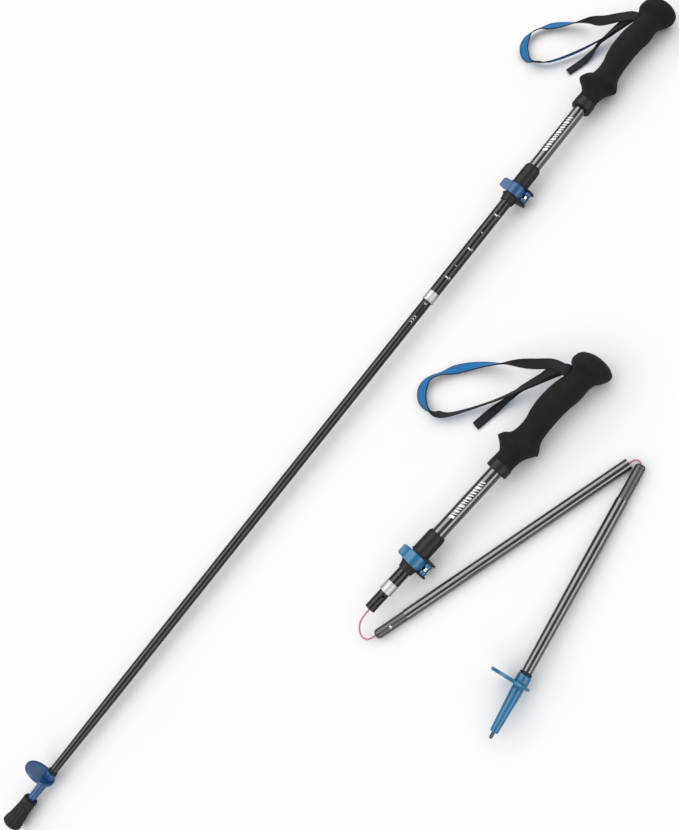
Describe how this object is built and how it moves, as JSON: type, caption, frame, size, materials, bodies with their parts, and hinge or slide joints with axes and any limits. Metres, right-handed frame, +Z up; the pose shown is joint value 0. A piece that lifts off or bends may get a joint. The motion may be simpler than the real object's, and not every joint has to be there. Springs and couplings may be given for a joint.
{
  "type": "trekking poles",
  "caption": "Pair of folding trekking poles with foam grips, lever clamps, wrist straps, baskets and steel tips; one fitted together straight, the other half folded in a Z on its core cord.",
  "frame": {"origin": "middle of the pair's footprint, on the surface that the poles lie on", "axes": "+Y along the straight pole from its foot to its grip, +X towards the folded pole, +Z up"},
  "size_m": [0.562, 1.3002, 0.0454],
  "materials": {
    "black_plastic": "fine textured moulding",
    "black_tube": "gloss black anodised aluminium",
    "blue_plastic_folded": "satin moulded nylon, lighter blue",
    "blue_plastic_straight": "satin moulded nylon, steel blue",
    "bright_button": "polished button",
    "bright_ring": "bright brushed aluminium",
    "core_cord": "pinkish red braided elastic cord",
    "ferrule_grey": "satin grey anodised aluminium",
    "grip_foam": "closed-cell foam, fine pebbled skin",
    "rubber": "moulded rubber",
    "steel": "turned steel",
    "webbing": "flat woven polyester webbing, black with blue face"
  },
  "bodies": {
    "straight_handle": {"straight_grip_foam": "grip_foam", "straight_grip_core": "black_plastic", "straight_grip_collar": "black_plastic", "straight_strap_pin": "steel", "straight_upper_tube": "black_tube", "straight_clamp_body": "black_plastic", "straight_clamp_bolt": "steel"},
    "straight_clamp_lever": {"straight_clamp_lever": "blue_plastic_straight"},
    "straight_clamp_nut": {"straight_clamp_nut": "black_plastic"},
    "straight_strap": {"straight_strap": "webbing"},
    "straight_telescope": {"straight_adjust_tube": "black_tube", "straight_adjust_bush": "black_plastic", "straight_ring": "bright_ring", "straight_socket_tube": "black_tube", "straight_anchor_cord": "core_cord", "straight_lower_1_tube": "black_tube", "straight_lower_1_ferrule": "ferrule_grey", "straight_lower_1_cord": "core_cord"},
    "straight_basket": {"straight_basket": "blue_plastic_straight"},
    "folded_handle": {"folded_grip_foam": "grip_foam", "folded_grip_core": "black_plastic", "folded_grip_collar": "black_plastic", "folded_strap_pin": "steel", "folded_upper_tube": "black_tube", "folded_clamp_body": "black_plastic", "folded_clamp_bolt": "steel"},
    "folded_clamp_lever": {"folded_clamp_lever": "blue_plastic_folded"},
    "folded_clamp_nut": {"folded_clamp_nut": "black_plastic"},
    "folded_strap": {"folded_strap": "webbing"},
    "folded_telescope": {"folded_adjust_tube": "black_tube", "folded_adjust_bush": "black_plastic", "folded_ring": "bright_ring", "folded_socket_tube": "black_tube", "folded_anchor_cord": "core_cord", "folded_cord_loop_upper": "core_cord"},
    "folded_basket": {"folded_basket": "blue_plastic_folded"},
    "straight_button": {"straight_lower_1_button": "bright_button"},
    "straight_lower_2": {"straight_lower_2_tube": "black_tube", "straight_lower_2_ferrule": "ferrule_grey", "straight_lower_2_cord": "core_cord"},
    "straight_lower_3": {"straight_lower_3_tube": "black_tube", "straight_lower_3_ferrule": "ferrule_grey", "straight_lower_3_cord": "core_cord", "straight_tip_cone": "blue_plastic_straight", "straight_steel_tip": "steel", "straight_tip_ring": "black_plastic"},
    "straight_rubber_cap": {"straight_rubber_cap": "rubber"},
    "folded_middle": {"folded_middle_tube": "black_tube", "folded_middle_ferrule": "ferrule_grey", "folded_middle_cord": "core_cord", "folded_cord_loop_lower": "core_cord"},
    "folded_button": {"folded_middle_button": "bright_button"},
    "folded_lower": {"folded_lower_tube": "black_tube", "folded_lower_ferrule": "ferrule_grey", "folded_lower_cord": "core_cord", "folded_tip_cone": "blue_plastic_folded", "folded_steel_tip": "steel", "folded_tip_ring": "black_plastic"}
  },
  "joints": [
    {"name": "straight_clamp_lever_open", "type": "hinge", "parent": "straight_handle", "child": "straight_clamp_lever", "pos_m": [-0.10131, 0.35504, 0.01697], "axis": [0, 1, 0.0075], "range_deg": [0, 110]},
    {"name": "straight_clamp_nut_turn", "type": "hinge", "parent": "straight_handle", "child": "straight_clamp_nut", "pos_m": [-0.11042, 0.35512, 0.00531], "axis": [-0.6157, 0.0059, -0.788], "continuous": true},
    {"name": "straight_length", "type": "slide", "parent": "straight_handle", "child": "straight_telescope", "axis": [0, -1, -0.0075], "range_m": [-0.14, 0.03]},
    {"name": "straight_strap_swing", "type": "hinge", "parent": "straight_handle", "child": "straight_strap", "pos_m": [-0.12143, 0.61597, 0.02729], "axis": [0, 1, 0.0075], "range_deg": [-6, 6]},
    {"name": "folded_pole_apart", "type": "slide", "parent": "straight_handle", "child": "folded_handle", "axis": [1, 0, 0], "range_m": [0, 0.1]},
    {"name": "folded_clamp_lever_open", "type": "hinge", "parent": "folded_handle", "child": "folded_clamp_lever", "pos_m": [0.11138, -0.06935, 0.01689], "axis": [0.0775, 0.997, 0.0075], "range_deg": [0, 110]},
    {"name": "folded_clamp_nut_turn", "type": "hinge", "parent": "folded_handle", "child": "folded_clamp_nut", "pos_m": [0.10231, -0.06856, 0.00523], "axis": [-0.6134, 0.0536, -0.788], "continuous": true},
    {"name": "folded_length", "type": "slide", "parent": "folded_handle", "child": "folded_telescope", "axis": [-0.0775, -0.997, -0.0075], "range_m": [-0.015, 0.155]},
    {"name": "folded_strap_swing", "type": "hinge", "parent": "folded_handle", "child": "folded_strap", "pos_m": [0.11155, 0.19235, 0.0272], "axis": [0.0775, 0.997, 0.0075], "range_deg": [-6, 6]},
    {"name": "straight_button_press", "type": "slide", "parent": "straight_telescope", "child": "straight_button", "axis": [-0.6157, 0.0059, -0.788], "range_m": [0, 0.0015], "stiffness_N_per_m": 400, "springref_m": -0.001},
    {"name": "straight_lower_2_pull", "type": "slide", "parent": "straight_telescope", "child": "straight_lower_2", "axis": [0, -1, -0.0075], "range_m": [0, 0.045], "stiffness_N_per_m": 150, "springref_m": -0.06},
    {"name": "straight_lower_3_pull", "type": "slide", "parent": "straight_lower_2", "child": "straight_lower_3", "axis": [0, -1, -0.0075], "range_m": [0, 0.045], "stiffness_N_per_m": 150, "springref_m": -0.06},
    {"name": "straight_basket_turn", "type": "hinge", "parent": "straight_lower_3", "child": "straight_basket", "pos_m": [-0.1167, -0.58097, 0.01462], "axis": [0, 1, 0.0075], "continuous": true},
    {"name": "straight_cap_off", "type": "slide", "parent": "straight_lower_3", "child": "straight_rubber_cap", "axis": [0, -1, -0.0075], "range_m": [0, 0.045]},
    {"name": "folded_fold_upper", "type": "hinge", "parent": "folded_telescope", "child": "folded_middle", "pos_m": [0.0983, -0.15797, 0.014], "axis": [0, 0, -1], "range_deg": [-3, 140], "deforming": ["folded_cord_loop_upper"]},
    {"name": "folded_button_press", "type": "slide", "parent": "folded_middle", "child": "folded_button", "axis": [-0.585, 0.1919, -0.788], "range_m": [0, 0.0015], "stiffness_N_per_m": 400, "springref_m": -0.001},
    {"name": "folded_fold_lower", "type": "hinge", "parent": "folded_middle", "child": "folded_lower", "pos_m": [0.2178, 0.16103, 0.006], "axis": [0, 0, 1], "range_deg": [-2, 140], "deforming": ["folded_cord_loop_lower"]},
    {"name": "folded_basket_turn", "type": "hinge", "parent": "folded_lower", "child": "folded_basket", "pos_m": [0.26946, -0.0944, 0.01499], "axis": [-0.1849, 0.9821, -0.036], "continuous": true}
  ]
}
